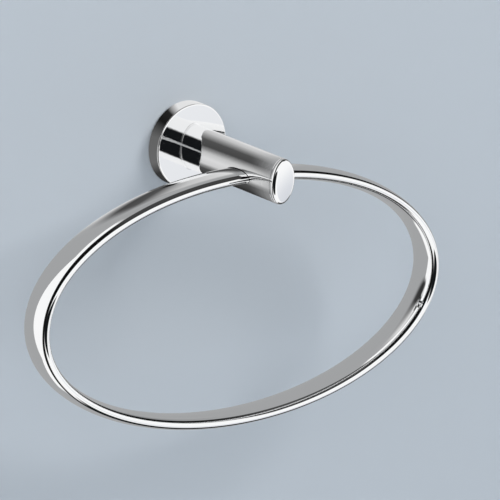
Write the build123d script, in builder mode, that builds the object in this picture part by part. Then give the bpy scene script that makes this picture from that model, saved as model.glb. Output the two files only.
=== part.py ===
"""Wall mounted towel ring: round wall plate, oval post and an elliptical ring of oval bar.

Frame: X to the right, Y into the wall, Z up. The origin is the centre of the wall plate, on the wall.
All sizes are millimetres.
"""
import os
from math import asin, degrees

from build123d import *

# Fits
thread_clearance = 0.05
seat_clearance = 0.05
ring_clearance = 0.2

# Wall plate: a shallow cup that stands on the wall and hides the bracket
plate_diameter = 45.0
plate_rim = 2.0
plate_face = 2.6
plate_edge = 0.8
post_pocket = 0.6
boss_width = 9.0
boss_thickness = 2.1

# Screw and washer that pull the post onto the plate from behind
post_screw_diameter = 5.0
post_screw_reach = 12.0
post_screw_hole_spare = 2.0
post_head_diameter = 9.5
post_head_height = 2.7
post_head_round = 0.9
post_socket = 3.0
post_socket_depth = 1.6
washer_diameter = 11.0
washer_thickness = 1.0
head_gap = 0.3

# Wall bracket: a disc screwed to the wall, inside the plate
bracket_floor = 1.2
bracket_face_gap = 0.4
bracket_side_gap = 0.4
head_recess_gap = 2.25
wall_hole_diameter = 4.5
wall_sink_diameter = 9.0
groove_depth = 0.9
groove_width = 2.0
bracket_edge = 0.3

# Set screw in the plate's underside, which locks the plate on the bracket
plate_screw_diameter = 4.0
plate_screw_inset = 0.3
plate_socket = 2.0
plate_socket_depth = 1.8
tip_gap = 0.05

# Ring: one bar of oval section, bent to an ellipse, with its two ends meeting inside the post
ring_width = 265.0
ring_height = 138.0
ring_depth = 19.0
ring_thickness = 7.0
ring_distance = 54.7
ring_drop = 2.8
ring_end_gap = 0.4

# Post: a straight oval bar, square to the wall
post_width = 14.8
post_height = 24.0
post_nose = 19.6
foot_lip = 0.5
foot_round = 0.3
joint_chamfer = 0.12

# End cap: a slightly crowned oval button pressed into the post
cap_crown = 0.8
cap_round = 2.4
cap_land = 0.5
spigot_depth = 4.0
spigot_wall = 2.2
spigot_floor_gap = 0.4

# Set screw behind the end cap, which clamps the ring's ends
ring_screw_diameter = 5.0
ring_screw_inset = 1.5
ring_socket = 2.5
ring_socket_depth = 2.5
screw_chamfer = 0.5

# Derived places, as distances from the wall
cavity_depth = bracket_floor + post_head_height + head_gap + washer_thickness
plate_depth = cavity_depth + plate_face
bracket_depth = cavity_depth - bracket_face_gap
groove_distance = bracket_depth / 2
post_start = plate_depth - post_pocket
ring_front = ring_distance + ring_depth / 2
post_reach = ring_front + post_nose
cap_start = post_reach - cap_crown - cap_round - cap_land
spigot_end = cap_start - spigot_depth
pocket_floor = spigot_end - spigot_floor_gap
ring_screw_end = pocket_floor - ring_screw_inset

# Derived radii
plate_radius = plate_diameter / 2
cavity_radius = plate_radius - plate_rim
boss_radius = cavity_radius - boss_thickness
bracket_radius = boss_radius - bracket_side_gap
recess_radius = post_head_diameter / 2 + head_recess_gap
groove_radius = bracket_radius - groove_depth
wall_hole_spacing = recess_radius + bracket_radius
post_screw_radius = post_screw_diameter / 2
plate_screw_radius = plate_screw_diameter / 2
ring_screw_radius = ring_screw_diameter / 2
ring_path_x = (ring_width - ring_thickness) / 2
ring_path_z = (ring_height - ring_thickness) / 2
ring_centre_z = -ring_drop - ring_path_z
crown_radius = ((post_height / 2) ** 2 + cap_crown**2) / (2 * cap_crown)

# Sketches on this plane have X to the right and Z up, and extrude away from the wall
wall = Plane.XZ
side = Plane.YZ

os.makedirs("parts", exist_ok=True)

# Wall bracket
with BuildPart() as wall_bracket:
    with BuildSketch(wall):
        Circle(bracket_radius)
    extrude(amount=bracket_depth)
    chamfer(wall_bracket.edges().filter_by(GeomType.CIRCLE).sort_by(Axis.Y)[0], bracket_edge)
    with BuildSketch(wall.offset(bracket_floor)):
        Circle(recess_radius)
    extrude(amount=bracket_depth - bracket_floor, mode=Mode.SUBTRACT)
    with BuildSketch(Plane.XY):
        with BuildLine():
            Polyline(
                (bracket_radius, -groove_distance - groove_width / 2),
                (groove_radius, -groove_distance),
                (bracket_radius, -groove_distance + groove_width / 2),
                close=True,
            )
        make_face()
    revolve(axis=Axis.Y, mode=Mode.SUBTRACT)
    with Locations(wall.offset(bracket_depth)):
        with GridLocations(wall_hole_spacing, 0, 2, 1):
            CounterSinkHole(wall_hole_diameter / 2, wall_sink_diameter / 2, depth=bracket_depth)

# Wall plate
with BuildPart() as wall_plate:
    with BuildSketch(Plane.XY):
        with BuildLine():
            Polyline(
                (0, -cavity_depth),
                (cavity_radius, -cavity_depth),
                (cavity_radius, 0),
                (plate_radius, 0),
                (plate_radius, -plate_depth),
                (0, -plate_depth),
                close=True,
            )
        make_face()
    revolve(axis=Axis.Y)
    fillet(wall_plate.edges().filter_by(GeomType.CIRCLE).group_by(Axis.Y)[0], plate_edge)
    with BuildSketch(wall):
        Circle(cavity_radius + plate_rim / 2)
        Circle(boss_radius, mode=Mode.SUBTRACT)
        with Locations((0, -plate_radius)):
            Rectangle(boss_width, plate_diameter / 2, mode=Mode.INTERSECT)
    extrude(amount=cavity_depth)
    with BuildSketch(wall.offset(post_start)):
        Ellipse(post_width / 2 + seat_clearance, post_height / 2 + seat_clearance)
    extrude(amount=post_pocket, mode=Mode.SUBTRACT)
    with BuildSketch(wall.offset(cavity_depth)):
        Circle(post_screw_radius + thread_clearance)
    extrude(amount=plate_face, mode=Mode.SUBTRACT)
    with BuildSketch(Plane.XY.offset(-plate_radius)):
        with Locations((0, -groove_distance)):
            Circle(plate_screw_radius + thread_clearance)
    extrude(amount=plate_radius - boss_radius + plate_rim, mode=Mode.SUBTRACT)

# Set screw in the plate's underside: a cone point in the bracket's groove and a hexagon socket below
plate_screw_low = -plate_radius + plate_screw_inset
plate_screw_point = -groove_radius - tip_gap
point_height = plate_screw_radius * groove_depth / (groove_width / 2)
with BuildPart() as plate_set_screw:
    with BuildSketch(side):
        with BuildLine():
            Polyline(
                (-groove_distance, plate_screw_low),
                (-groove_distance + plate_screw_radius, plate_screw_low),
                (-groove_distance + plate_screw_radius, plate_screw_point - point_height),
                (-groove_distance, plate_screw_point),
                close=True,
            )
        make_face()
    revolve(axis=Axis((0, -groove_distance, 0), (0, 0, 1)))
    with BuildSketch(Plane.XY.offset(plate_screw_low)):
        with Locations((0, -groove_distance)):
            RegularPolygon(plate_socket / 2, 6, major_radius=False)
    extrude(amount=plate_socket_depth, mode=Mode.SUBTRACT)

# Post, with a thin lip round its foot that covers the pocket's edge
with BuildPart() as post:
    with BuildSketch(wall.offset(plate_depth)):
        Ellipse(post_width / 2 + foot_lip, post_height / 2 + foot_lip)
    extrude(amount=foot_lip)
    fillet(post.faces().sort_by(Axis.Y)[0].edges(), foot_round)
    with BuildSketch(wall.offset(post_start)):
        Ellipse(post_width / 2, post_height / 2)
    extrude(amount=cap_start - post_start)
    chamfer(post.faces().sort_by(Axis.Y)[0].edges(), joint_chamfer)
    with BuildSketch(side):
        with Locations((-ring_distance, -ring_drop)):
            Ellipse(ring_depth / 2 + ring_clearance, ring_thickness / 2 + ring_clearance)
    extrude(amount=post_width, both=True, mode=Mode.SUBTRACT)
    with BuildSketch(wall.offset(pocket_floor)):
        Ellipse(post_width / 2 - spigot_wall, post_height / 2 - spigot_wall)
    extrude(amount=cap_start - pocket_floor, mode=Mode.SUBTRACT)
    with BuildSketch(wall.offset(ring_distance)):
        with Locations((0, -ring_drop)):
            Circle(ring_screw_radius + thread_clearance)
    extrude(amount=pocket_floor - ring_distance, mode=Mode.SUBTRACT)
    with BuildSketch(wall.offset(post_start)):
        Circle(post_screw_radius + thread_clearance)
    extrude(amount=post_screw_reach + post_screw_hole_spare, mode=Mode.SUBTRACT)

# Washer under the post screw's head
washer_back = cavity_depth - washer_thickness
with BuildPart() as post_washer:
    with BuildSketch(wall.offset(washer_back)):
        Circle(washer_diameter / 2)
        Circle(post_screw_radius + thread_clearance, mode=Mode.SUBTRACT)
    extrude(amount=washer_thickness)

# Post screw, driven from inside the plate
head_back = washer_back - post_head_height
with BuildPart() as post_screw:
    with BuildSketch(wall.offset(head_back)):
        Circle(post_head_diameter / 2)
    extrude(amount=post_head_height)
    fillet(post_screw.edges().filter_by(GeomType.CIRCLE).sort_by(Axis.Y)[-1], post_head_round)
    with BuildSketch(wall.offset(washer_back)):
        Circle(post_screw_radius)
    extrude(amount=post_start + post_screw_reach - washer_back)
    chamfer(post_screw.edges().filter_by(GeomType.CIRCLE).sort_by(Axis.Y)[0], screw_chamfer)
    with BuildSketch(wall.offset(head_back)):
        RegularPolygon(post_socket / 2, 6, major_radius=False)
    extrude(amount=post_socket_depth, mode=Mode.SUBTRACT)

# Ring: the oval section swept along the ellipse, from one side of the gap to the other
gap_angle = degrees(asin(ring_end_gap / 2 / ring_path_x))
with BuildPart() as ring:
    with BuildLine(wall.offset(ring_distance)) as ring_path:
        EllipticalCenterArc(
            (0, ring_centre_z),
            ring_path_x,
            ring_path_z,
            start_angle=90 + gap_angle,
            arc_size=360 - 2 * gap_angle,
        )
    ring_start = Plane(ring_path.line @ 0, x_dir=(0, 1, 0), z_dir=ring_path.line % 0)
    with BuildSketch(ring_start):
        Ellipse(ring_depth / 2, ring_thickness / 2)
    sweep(path=ring_path.line)

# Set screw that clamps the ring's ends, driven from the front before the end cap goes in
ring_screw_tip = ring_front + tip_gap
with BuildPart() as ring_set_screw:
    with BuildSketch(wall.offset(ring_screw_tip)):
        with Locations((0, -ring_drop)):
            Circle(ring_screw_radius)
    extrude(amount=ring_screw_end - ring_screw_tip)
    chamfer(ring_set_screw.edges().filter_by(GeomType.CIRCLE), screw_chamfer)
    with BuildSketch(wall.offset(ring_screw_end - ring_socket_depth)):
        with Locations((0, -ring_drop)):
            RegularPolygon(ring_socket / 2, 6, major_radius=False)
    extrude(amount=ring_socket_depth, mode=Mode.SUBTRACT)

# End cap
with BuildPart() as end_cap:
    with BuildSketch(wall.offset(cap_start)):
        Ellipse(post_width / 2, post_height / 2)
    extrude(amount=post_reach - cap_start)
    with Locations((0, crown_radius - post_reach, 0)):
        Sphere(crown_radius, mode=Mode.INTERSECT)
    fillet(end_cap.faces().filter_by(GeomType.SPHERE)[0].edges(), cap_round)
    chamfer(end_cap.faces().sort_by(Axis.Y)[-1].edges(), joint_chamfer)
    with BuildSketch(wall.offset(cap_start)):
        Ellipse(
            post_width / 2 - spigot_wall - seat_clearance,
            post_height / 2 - spigot_wall - seat_clearance,
        )
    extrude(amount=-spigot_depth)

wall_bracket.part.label = "wall_bracket"
wall_plate.part.label = "wall_plate"
plate_set_screw.part.label = "plate_set_screw"
post.part.label = "post"
post_washer.part.label = "post_washer"
post_screw.part.label = "post_screw"
ring.part.label = "ring"
ring_set_screw.part.label = "ring_set_screw"
end_cap.part.label = "end_cap"

export_step(wall_bracket.part, "parts/wall_bracket.step")
export_step(wall_plate.part, "parts/wall_plate.step")
export_step(plate_set_screw.part, "parts/plate_set_screw.step")
export_step(post.part, "parts/post.step")
export_step(post_washer.part, "parts/post_washer.step")
export_step(post_screw.part, "parts/post_screw.step")
export_step(ring.part, "parts/ring.step")
export_step(ring_set_screw.part, "parts/ring_set_screw.step")
export_step(end_cap.part, "parts/end_cap.step")
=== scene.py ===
"""Chrome towel ring on a pale studio wall."""
import math

import bpy
from mathutils import Matrix, Vector


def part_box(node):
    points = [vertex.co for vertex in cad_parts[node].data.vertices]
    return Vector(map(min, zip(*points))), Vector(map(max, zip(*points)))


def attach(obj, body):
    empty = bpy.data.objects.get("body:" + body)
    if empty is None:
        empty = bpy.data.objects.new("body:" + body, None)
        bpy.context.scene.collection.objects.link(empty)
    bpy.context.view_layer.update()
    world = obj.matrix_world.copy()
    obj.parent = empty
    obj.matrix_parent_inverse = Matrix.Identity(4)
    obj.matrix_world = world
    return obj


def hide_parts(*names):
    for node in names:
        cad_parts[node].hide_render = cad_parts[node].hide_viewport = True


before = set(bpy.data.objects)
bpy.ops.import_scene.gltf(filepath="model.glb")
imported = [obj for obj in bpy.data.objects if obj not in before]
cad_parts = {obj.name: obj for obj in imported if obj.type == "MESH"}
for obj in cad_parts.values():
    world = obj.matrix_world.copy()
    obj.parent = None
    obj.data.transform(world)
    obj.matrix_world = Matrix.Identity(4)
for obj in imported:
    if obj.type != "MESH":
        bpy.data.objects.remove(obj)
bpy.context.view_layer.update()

# Ring, in metres: the bar's thickness, the gap between its ends, and the mesh's resolution
RING_THICKNESS = 0.007
RING_END_GAP = 0.0004
RING_STEPS = 720
SECTION_STEPS = 64

# Metal grain: its detail, the part of its range that changes the gloss, its height in metres, its stretch
GRAIN_DETAIL = 4.0
GRAIN_SPAN = (0.3, 0.7)
GRAIN_HEIGHT = 0.0001
EVEN_GRAIN = (1, 1, 1)
DRAWN_GRAIN = (1, 1, 6)

# Camera, fitted to the photograph: place, aim, roll, focal length and frame width, and its reach in metres
CAMERA_PLACE = Vector((-1.49027, -1.80720, 0.60622))
CAMERA_AIM = Vector((0.023597, -0.033333, -0.051897))
CAMERA_ROLL = math.radians(5.01)
FOCAL_PIXELS = 4655.7
FRAME_PIXELS = 500
CAMERA_REACH = 20

# Stage, in metres
WALL_GAP = 0.0006
WALL_HALF_WIDTH = 3.5
WALL_TOP = 2.5
FLOOR_LEVEL = -0.62
FLOOR_FRONT = -3.5
COVE_RADIUS = 0.25
COVE_STEPS = 24
BACKDROP_COLOUR = (0.60, 0.645, 0.69, 1.0)

# Light: where the lamps aim, and the plain light from all round
LAMP_AIM = (0, 0, -0.05)
WORLD_COLOUR = (0.80, 0.83, 0.86, 1.0)
WORLD_STRENGTH = 0.55

# Colours of the painted reflections that only the metal sees, and their strength
PAINTED_GREY = (0.37, 0.375, 0.38, 1.0)
PAINTED_WHITE = (0.98, 0.98, 0.98, 1.0)
PAINTED_BLACK = (0.008, 0.009, 0.01, 1.0)
MIRRORED_STRENGTH = 1.08

# Painted reflection far away, which only the metal sees, by direction: X to the right, Y into the wall, Z
# up.
# An axis is the direction that a zone lies round, and a span is where a zone's soft edge starts and ends.
# The front is white and ends in a dark gap
FRONT_AXIS = (0.304, -0.914, -0.269)
FRONT_STOPS = [(-1.0, 0.006), (0.055, 0.006), (0.115, 0.98), (1.0, 1.0)]
# The back is white on its left and grey on its right
BACK_AXIS = (-0.231, 0.973, 0.025)
BACK_SPAN = (0.205, 0.25)
BACK_RIGHT_SPAN = (0.0, 0.1)
# Both draw back low on the left, and the front also high on the right
LOW_SPAN = (0.3, 0.8)
RIGHT_SPAN = (0.2, 0.4)
HIGH_SPAN = (0.3, 0.8)
FAR_RIGHT_SPAN = (0.5, 0.65)
FRONT_SHIFT_LOW_LEFT = -0.09
FRONT_SHIFT_HIGH_RIGHT = -0.35
BACK_SHIFT_LOW_LEFT = -0.07
# A pale shade in the front, to the right
SHADE_AXIS = (0.697, -0.597, -0.398)
SHADE_SPAN = (0.93, 1.03)
SHADE_COLOUR = (0.60, 0.63, 0.69, 1.0)
# A faint painted light in the dark gap, high on the right
FAINT_LIGHT = 0.05
FAINT_LIGHT_HIGH_SPAN = (0.6, 0.85)
FAINT_LIGHT_RIGHT_SPAN = (-0.1, 0.1)
FAINT_LIGHT_FRONT_SPAN = (-0.10, -0.02)
# A dark zone low on the right
LOW_RIGHT_DROP_SPAN = (0.35, 0.50)
LOW_RIGHT_SIDE_SPAN = (0.05, 0.2)
LOW_RIGHT_DEPTH_SPAN = (-0.45, -0.27)
# A dark zone on the camera's side
DARK_AXIS = (-0.63, -0.74, -0.23)
DARK_SPAN = (0.82, 0.88)

# Painted reflection on the wall round the plate, which only the metal sees: (angle in degrees from +X,
# brightness) stops close to the rim and farther out, and the distances in metres where the first gives way
# and where the second ends
RIM_PAINTED_REFLECTION_STOPS = [
    (0, 0.85),
    (106, 0.85),
    (122, 0.02),
    (140, 0.01),
    (166, 0.14),
    (206, 0.155),
    (226, 0.04),
    (300, 0.04),
    (360, 0.85),
]
WALL_PAINTED_REFLECTION_STOPS = [
    (0, 0.55),
    (38, 0.83),
    (64, 0.70),
    (91, 0.60),
    (115, 0.32),
    (135, 0.09),
    (160, 0.07),
    (172, 0.30),
    (182, 0.60),
    (200, 0.78),
    (219, 0.69),
    (228, 0.30),
    (240, 0.08),
    (283, 0.03),
    (325, 0.05),
    (360, 0.55),
]
PAINTED_RIM_REACH = (0.0290, 0.0300)
PAINTED_WALL_REACH = (0.065, 0.095)

# A glowing grey panel behind the wall, a painted reflection that only the metal sees: place along Y, and
# (x, z) corners in metres
PAINTED_PANEL_PLACE = 0.203
PAINTED_PANEL_OUTLINE = [(-0.395, -0.52), (-0.395, 0.62), (0.35, 0.62), (0.35, -0.52)]

# Places of the mix node's colour sockets, which share their names with its other sockets
MIX_FACTOR = 0
MIX_FIRST = 6
MIX_SECOND = 7
MIX_RESULT = 2


def new_material(name):
    """A material with its node tree, empty but for the output node."""
    material = bpy.data.materials.new(name)
    material.use_nodes = True
    tree = material.node_tree
    tree.nodes.clear()
    output = tree.nodes.new("ShaderNodeOutputMaterial")
    return material, tree, output


def add_node(tree, kind, inputs=None, **settings):
    """One node with its settings and its unlinked input values."""
    node = tree.nodes.new(kind)
    for key, value in settings.items():
        setattr(node, key, value)
    for key, value in (inputs or {}).items():
        node.inputs[key].default_value = value
    return node


def metal(name, colour, roughness, grain_scale, grain_stretch, bump):
    """A metal whose gloss varies by a fine grain, with a faint bump of the same grain."""
    material, tree, output = new_material(name)
    shader = add_node(tree, "ShaderNodeBsdfPrincipled", {"Base Color": colour, "Metallic": 1.0})
    place = add_node(tree, "ShaderNodeTexCoord")
    stretch = add_node(tree, "ShaderNodeMapping", {"Scale": grain_stretch})
    grain = add_node(tree, "ShaderNodeTexNoise", {"Scale": grain_scale, "Detail": GRAIN_DETAIL})
    grain_low, grain_high = GRAIN_SPAN
    smoothest, roughest = roughness
    gloss = add_node(
        tree,
        "ShaderNodeMapRange",
        {"From Min": grain_low, "From Max": grain_high, "To Min": smoothest, "To Max": roughest},
    )
    relief = add_node(tree, "ShaderNodeBump", {"Strength": bump, "Distance": GRAIN_HEIGHT})
    link = tree.links.new
    link(place.outputs["Object"], stretch.inputs["Vector"])
    link(stretch.outputs["Vector"], grain.inputs["Vector"])
    link(grain.outputs["Fac"], gloss.inputs["Value"])
    link(gloss.outputs["Result"], shader.inputs["Roughness"])
    link(grain.outputs["Fac"], relief.inputs["Height"])
    link(relief.outputs["Normal"], shader.inputs["Normal"])
    link(shader.outputs["BSDF"], output.inputs["Surface"])
    return material


def paint(obj, material):
    """Gives an object one material."""
    obj.data.materials.clear()
    obj.data.materials.append(material)


def mesh_object(name, points, faces):
    """A smooth-shaded mesh object in the scene's collection."""
    mesh = bpy.data.meshes.new(name)
    mesh.from_pydata([tuple(p) for p in points], [], faces)
    mesh.polygons.foreach_set("use_smooth", [True] * len(mesh.polygons))
    mesh.update()
    obj = bpy.data.objects.new(name, mesh)
    bpy.context.scene.collection.objects.link(obj)
    return obj


def smooth_ring():
    """The ring as a fine mesh: an oval section carried round an ellipse, open inside the post."""
    low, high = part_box("ring")
    centre = (low + high) / 2
    radius_x = (high.x - low.x - RING_THICKNESS) / 2
    radius_z = (high.z - low.z - RING_THICKNESS) / 2
    half_depth = (high.y - low.y) / 2
    half_thickness = RING_THICKNESS / 2
    gap_angle = math.asin(RING_END_GAP / 2 / radius_x)
    start = math.pi / 2 + gap_angle
    sweep = 2 * math.pi - 2 * gap_angle
    points = []
    for i in range(RING_STEPS + 1):
        angle = start + sweep * i / RING_STEPS
        spine = Vector((radius_x * math.cos(angle), 0, radius_z * math.sin(angle)))
        outward = Vector((radius_z * math.cos(angle), 0, radius_x * math.sin(angle))).normalized()
        for j in range(SECTION_STEPS):
            turn = 2 * math.pi * j / SECTION_STEPS
            across = outward * (half_thickness * math.cos(turn))
            inward = Vector((0, half_depth * math.sin(turn), 0))
            points.append(centre + spine + across + inward)
    faces = []
    for i in range(RING_STEPS):
        for j in range(SECTION_STEPS):
            k = (j + 1) % SECTION_STEPS
            here = i * SECTION_STEPS
            there = here + SECTION_STEPS
            faces.append((here + j, there + j, there + k, here + k))
    last = RING_STEPS * SECTION_STEPS
    faces.append(tuple(range(SECTION_STEPS)))
    faces.append(tuple(last + j for j in reversed(range(SECTION_STEPS))))
    return mesh_object("ring_bar", points, faces)


def set_or_link(tree, socket, value):
    """Feeds an input from another node's output, or sets it to a plain value."""
    if isinstance(value, bpy.types.NodeSocket):
        tree.links.new(value, socket)
    else:
        socket.default_value = value


def calculate(tree, operation, *values):
    """The result of one math node."""
    node = add_node(tree, "ShaderNodeMath", operation=operation)
    for socket, value in zip(node.inputs, values):
        set_or_link(tree, socket, value)
    return node.outputs["Value"]


def product(tree, first, second):
    """Two values multiplied."""
    return calculate(tree, "MULTIPLY", first, second)


def opposite(tree, value):
    """What is left of 1 after a value from 0 to 1."""
    return calculate(tree, "SUBTRACT", 1.0, value)


def shifted(tree, value, amount, shift):
    """A value moved by a share of a shift."""
    return calculate(tree, "MULTIPLY_ADD", amount, shift, value)


def along(tree, direction, axis):
    """How far a direction points along an axis."""
    node = add_node(tree, "ShaderNodeVectorMath", {1: axis}, operation="DOT_PRODUCT")
    tree.links.new(direction, node.inputs[0])
    return node.outputs["Value"]


def step(tree, value, span):
    """A soft step from 0 below the span to 1 above it."""
    low, high = span
    node = add_node(
        tree, "ShaderNodeMapRange", {"From Min": low, "From Max": high}, interpolation_type="SMOOTHSTEP"
    )
    tree.links.new(value, node.inputs["Value"])
    return node.outputs["Result"]


def brightness(tree, value, stops):
    """A grey that follows a value through (value, brightness) stops."""
    low = stops[0][0]
    high = stops[-1][0]
    ramp = add_node(tree, "ShaderNodeValToRGB")
    elements = ramp.color_ramp.elements
    while len(elements) < len(stops):
        elements.new(1.0)
    for element, (place, grey) in zip(elements, stops):
        element.position = (place - low) / (high - low)
        element.color = (grey, grey, grey, 1.0)
    node = add_node(tree, "ShaderNodeMapRange", {"From Min": low, "From Max": high})
    tree.links.new(value, node.inputs["Value"])
    tree.links.new(node.outputs["Result"], ramp.inputs["Fac"])
    return ramp.outputs["Color"]


def blend(tree, factor, first, second):
    """A mix of two colours."""
    node = add_node(tree, "ShaderNodeMix", data_type="RGBA")
    set_or_link(tree, node.inputs[MIX_FACTOR], factor)
    set_or_link(tree, node.inputs[MIX_FIRST], first)
    set_or_link(tree, node.inputs[MIX_SECOND], second)
    return node.outputs[MIX_RESULT]


def painted_wall_reflection(tree):
    """Painted reflection on the wall, which only the metal sees: light and dark sectors round the plate,
    and where they end.
    """
    place = add_node(tree, "ShaderNodeTexCoord")
    split = add_node(tree, "ShaderNodeSeparateXYZ")
    tree.links.new(place.outputs["Object"], split.inputs["Vector"])
    run = product(tree, split.outputs["X"], -1.0)
    rise = product(tree, split.outputs["Z"], -1.0)
    angle = calculate(tree, "ADD", calculate(tree, "ARCTAN2", rise, run), math.pi)
    angle = calculate(tree, "DEGREES", angle)
    square = calculate(tree, "ADD", product(tree, run, run), product(tree, rise, rise))
    distance = calculate(tree, "SQRT", square)
    rim = brightness(tree, angle, RIM_PAINTED_REFLECTION_STOPS)
    wall = brightness(tree, angle, WALL_PAINTED_REFLECTION_STOPS)
    return blend(tree, step(tree, distance, PAINTED_RIM_REACH), rim, wall), step(tree, distance, PAINTED_WALL_REACH)


def backdrop_material():
    """A plain pale surface that shows from its front and casts no shadow; to the metal it shows a glowing
    painted reflection round the plate.
    """
    material, tree, output = new_material("backdrop_and_painted_reflection")
    surface = add_node(tree, "ShaderNodeBsdfDiffuse", {"Color": BACKDROP_COLOUR})
    clear = add_node(tree, "ShaderNodeBsdfTransparent")
    light = add_node(tree, "ShaderNodeEmission")
    geometry = add_node(tree, "ShaderNodeNewGeometry")
    path = add_node(tree, "ShaderNodeLightPath")
    hidden = add_node(tree, "ShaderNodeMath", operation="MAXIMUM")
    shown = add_node(tree, "ShaderNodeMixShader")
    mirrored = add_node(tree, "ShaderNodeMixShader")
    mix = add_node(tree, "ShaderNodeMixShader")
    # Painted reflection: light and dark sectors on the wall that only mirror rays see
    colour, beyond = painted_wall_reflection(tree)
    link = tree.links.new
    link(geometry.outputs["Backfacing"], hidden.inputs[0])
    link(path.outputs["Is Shadow Ray"], hidden.inputs[1])
    link(hidden.outputs["Value"], shown.inputs["Fac"])
    link(surface.outputs["BSDF"], shown.inputs[1])
    link(clear.outputs["BSDF"], shown.inputs[2])
    link(colour, light.inputs["Color"])
    link(beyond, mirrored.inputs["Fac"])
    link(light.outputs["Emission"], mirrored.inputs[1])
    link(clear.outputs["BSDF"], mirrored.inputs[2])
    link(path.outputs["Is Glossy Ray"], mix.inputs["Fac"])
    link(shown.outputs["Shader"], mix.inputs[1])
    link(mirrored.outputs["Shader"], mix.inputs[2])
    link(mix.outputs["Shader"], output.inputs["Surface"])
    return material


def backdrop():
    """A wall that runs down through a cove into a floor, closed at its left and right ends."""
    profile = [(WALL_GAP, WALL_TOP)]
    for i in range(COVE_STEPS + 1):
        turn = math.pi / 2 * i / COVE_STEPS
        y = WALL_GAP - COVE_RADIUS * (1 - math.cos(turn))
        z = FLOOR_LEVEL + COVE_RADIUS * (1 - math.sin(turn))
        profile.append((y, z))
    profile.append((FLOOR_FRONT, FLOOR_LEVEL))
    points = []
    for y, z in profile:
        points.append((-WALL_HALF_WIDTH, y, z))
        points.append((WALL_HALF_WIDTH, y, z))
    faces = []
    for i in range(len(profile) - 1):
        a = 2 * i
        faces.append((a, a + 2, a + 3, a + 1))
    outline = profile + [(FLOOR_FRONT, WALL_TOP)]
    left = [(-WALL_HALF_WIDTH, y, z) for y, z in reversed(outline)]
    right = [(WALL_HALF_WIDTH, y, z) for y, z in outline]
    end_face = [tuple(range(len(outline)))]
    surface = backdrop_material()
    for piece in (
        mesh_object("backdrop", points, faces),
        mesh_object("backdrop_left_end", left, end_face),
        mesh_object("backdrop_right_end", right, end_face),
    ):
        paint(piece, surface)


def area_lamp(name, place, size, power):
    """A soft square lamp that the metal doesn't mirror."""
    light = bpy.data.lights.new(name, "AREA")
    light.shape = "RECTANGLE"
    light.size = size
    light.size_y = size
    light.energy = power
    lamp = bpy.data.objects.new(name, light)
    lamp.location = place
    lamp.rotation_mode = "QUATERNION"
    lamp.rotation_quaternion = (Vector(LAMP_AIM) - Vector(place)).to_track_quat("-Z", "Y")
    lamp.visible_glossy = False
    bpy.context.scene.collection.objects.link(lamp)


def painted_far_reflection(tree):
    """The painted reflection that the metal sees far away: a white front, dark zones beside and below it,
    and the back.
    """
    direction = add_node(tree, "ShaderNodeTexCoord").outputs["Generated"]
    split = add_node(tree, "ShaderNodeSeparateXYZ")
    tree.links.new(direction, split.inputs["Vector"])
    x = split.outputs["X"]
    y = split.outputs["Y"]
    z = split.outputs["Z"]
    drop = product(tree, z, -1.0)

    not_right = opposite(tree, step(tree, x, RIGHT_SPAN))
    low_left = product(tree, step(tree, drop, LOW_SPAN), not_right)
    rightward = calculate(tree, "MAXIMUM", x, 0.0)
    not_far = opposite(tree, step(tree, x, FAR_RIGHT_SPAN))
    high_right = product(tree, product(tree, step(tree, z, HIGH_SPAN), rightward), not_far)
    front = along(tree, direction, FRONT_AXIS)
    front = shifted(tree, front, low_left, FRONT_SHIFT_LOW_LEFT)
    front = shifted(tree, front, high_right, FRONT_SHIFT_HIGH_RIGHT)
    back = along(tree, direction, BACK_AXIS)
    back = shifted(tree, back, low_left, BACK_SHIFT_LOW_LEFT)

    colour = brightness(tree, front, FRONT_STOPS)
    shade = step(tree, along(tree, direction, SHADE_AXIS), SHADE_SPAN)
    colour = blend(tree, shade, colour, SHADE_COLOUR)
    faint_light = product(tree, step(tree, z, FAINT_LIGHT_HIGH_SPAN), FAINT_LIGHT)
    faint_light = product(tree, faint_light, step(tree, x, FAINT_LIGHT_RIGHT_SPAN))
    faint_light = product(tree, faint_light, opposite(tree, step(tree, front, FAINT_LIGHT_FRONT_SPAN)))
    colour = blend(tree, faint_light, colour, PAINTED_WHITE)
    low_right = product(tree, step(tree, drop, LOW_RIGHT_DROP_SPAN), step(tree, x, LOW_RIGHT_SIDE_SPAN))
    low_right = product(tree, low_right, step(tree, y, LOW_RIGHT_DEPTH_SPAN))
    colour = blend(tree, low_right, colour, PAINTED_BLACK)
    colour = blend(tree, step(tree, along(tree, direction, DARK_AXIS), DARK_SPAN), colour, PAINTED_BLACK)
    beyond = blend(tree, step(tree, x, BACK_RIGHT_SPAN), PAINTED_WHITE, PAINTED_GREY)
    return blend(tree, step(tree, back, BACK_SPAN), colour, beyond)


def studio_world():
    """Plain pale light from all round, and a painted reflection far away that only the metal sees."""
    world = bpy.data.worlds.new("studio")
    bpy.context.scene.world = world
    world.use_nodes = True
    tree = world.node_tree
    tree.nodes.clear()
    output = add_node(tree, "ShaderNodeOutputWorld")
    plain = add_node(tree, "ShaderNodeBackground", {"Color": WORLD_COLOUR, "Strength": WORLD_STRENGTH})
    seen = add_node(tree, "ShaderNodeBackground", {"Strength": MIRRORED_STRENGTH})
    path = add_node(tree, "ShaderNodeLightPath")
    mix = add_node(tree, "ShaderNodeMixShader")
    link = tree.links.new
    # Mirror rays see the painted reflection; all other rays see the plain light
    link(painted_far_reflection(tree), seen.inputs["Color"])
    link(path.outputs["Is Glossy Ray"], mix.inputs["Fac"])
    link(plain.outputs["Background"], mix.inputs[1])
    link(seen.outputs["Background"], mix.inputs[2])
    link(mix.outputs["Shader"], output.inputs["Surface"])


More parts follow.
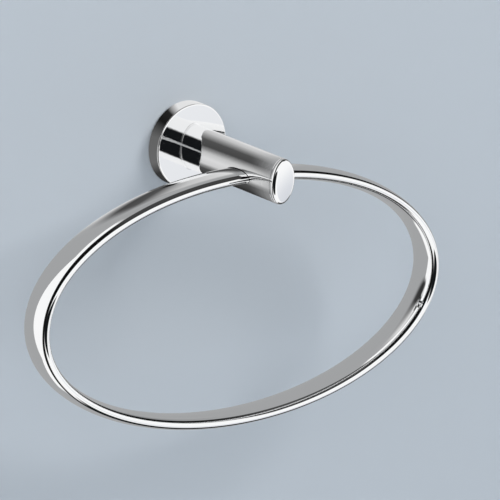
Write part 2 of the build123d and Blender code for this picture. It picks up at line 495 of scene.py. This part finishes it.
def glow(name, colour):
    """A plain light-giving material for painted reflection cards, which shows from a card's front and not
    from its back.
    """
    material, tree, output = new_material(name)
    light = add_node(tree, "ShaderNodeEmission", {"Color": colour, "Strength": MIRRORED_STRENGTH})
    clear = add_node(tree, "ShaderNodeBsdfTransparent")
    geometry = add_node(tree, "ShaderNodeNewGeometry")
    mix = add_node(tree, "ShaderNodeMixShader")
    link = tree.links.new
    link(geometry.outputs["Backfacing"], mix.inputs["Fac"])
    link(light.outputs["Emission"], mix.inputs[1])
    link(clear.outputs["BSDF"], mix.inputs[2])
    link(mix.outputs["Shader"], output.inputs["Surface"])
    return material


def painted_reflection_panel():
    """A glowing grey panel behind the wall, a painted reflection that only the metal mirrors, and that
    lights nothing else.
    """
    corners = [(x, PAINTED_PANEL_PLACE, z) for x, z in reversed(PAINTED_PANEL_OUTLINE)]
    card = mesh_object("painted_reflection_panel", corners, [tuple(range(len(corners)))])
    paint(card, glow("painted_reflection_grey", PAINTED_GREY))
    card.visible_camera = False
    card.visible_diffuse = False
    card.visible_transmission = False
    card.visible_volume_scatter = False
    card.visible_shadow = False


def camera():
    """The photograph's camera."""
    data = bpy.data.cameras.new("camera")
    data.lens = FOCAL_PIXELS / FRAME_PIXELS * data.sensor_width
    forward = (CAMERA_AIM - CAMERA_PLACE).normalized()
    right = forward.cross(Vector((0, 0, 1))).normalized()
    up = right.cross(forward)
    rolled_right = right * math.cos(CAMERA_ROLL) + up * math.sin(CAMERA_ROLL)
    rolled_up = up * math.cos(CAMERA_ROLL) - right * math.sin(CAMERA_ROLL)
    turn = Matrix((rolled_right, rolled_up, -forward)).transposed()
    obj = bpy.data.objects.new("camera", data)
    obj.matrix_world = Matrix.Translation(CAMERA_PLACE) @ turn.to_4x4()
    data.clip_end = CAMERA_REACH
    bpy.context.scene.collection.objects.link(obj)
    bpy.context.scene.camera = obj


chrome = metal(
    "polished_chrome",
    colour=(0.88, 0.885, 0.89, 1.0),
    roughness=(0.015, 0.035),
    grain_scale=900.0,
    grain_stretch=EVEN_GRAIN,
    bump=0.01,
)
zinc = metal(
    "satin_zinc",
    colour=(0.60, 0.62, 0.65, 1.0),
    roughness=(0.28, 0.42),
    grain_scale=1400.0,
    grain_stretch=EVEN_GRAIN,
    bump=0.15,
)
steel = metal(
    "bright_steel",
    colour=(0.56, 0.57, 0.58, 1.0),
    roughness=(0.18, 0.30),
    grain_scale=1200.0,
    grain_stretch=DRAWN_GRAIN,
    bump=0.1,
)

FINISH = {
    "wall_plate": chrome,
    "post": chrome,
    "end_cap": chrome,
    "ring": chrome,
    "wall_bracket": zinc,
    "plate_set_screw": steel,
    "post_screw": steel,
    "post_washer": steel,
    "ring_set_screw": steel,
}
for node, material in FINISH.items():
    paint(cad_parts[node], material)

ring_bar = smooth_ring()
paint(ring_bar, chrome)
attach(ring_bar, "root")
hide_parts("ring")

backdrop()
area_lamp("key_lamp", place=(1.2, -1.6, 1.6), size=1.2, power=26)
area_lamp("fill_lamp", place=(-1.8, -1.4, 0.6), size=1.6, power=14)
# A painted reflection: a glowing grey panel that only the metal sees
painted_reflection_panel()
studio_world()
camera()
bpy.context.scene.view_settings.view_transform = "Standard"
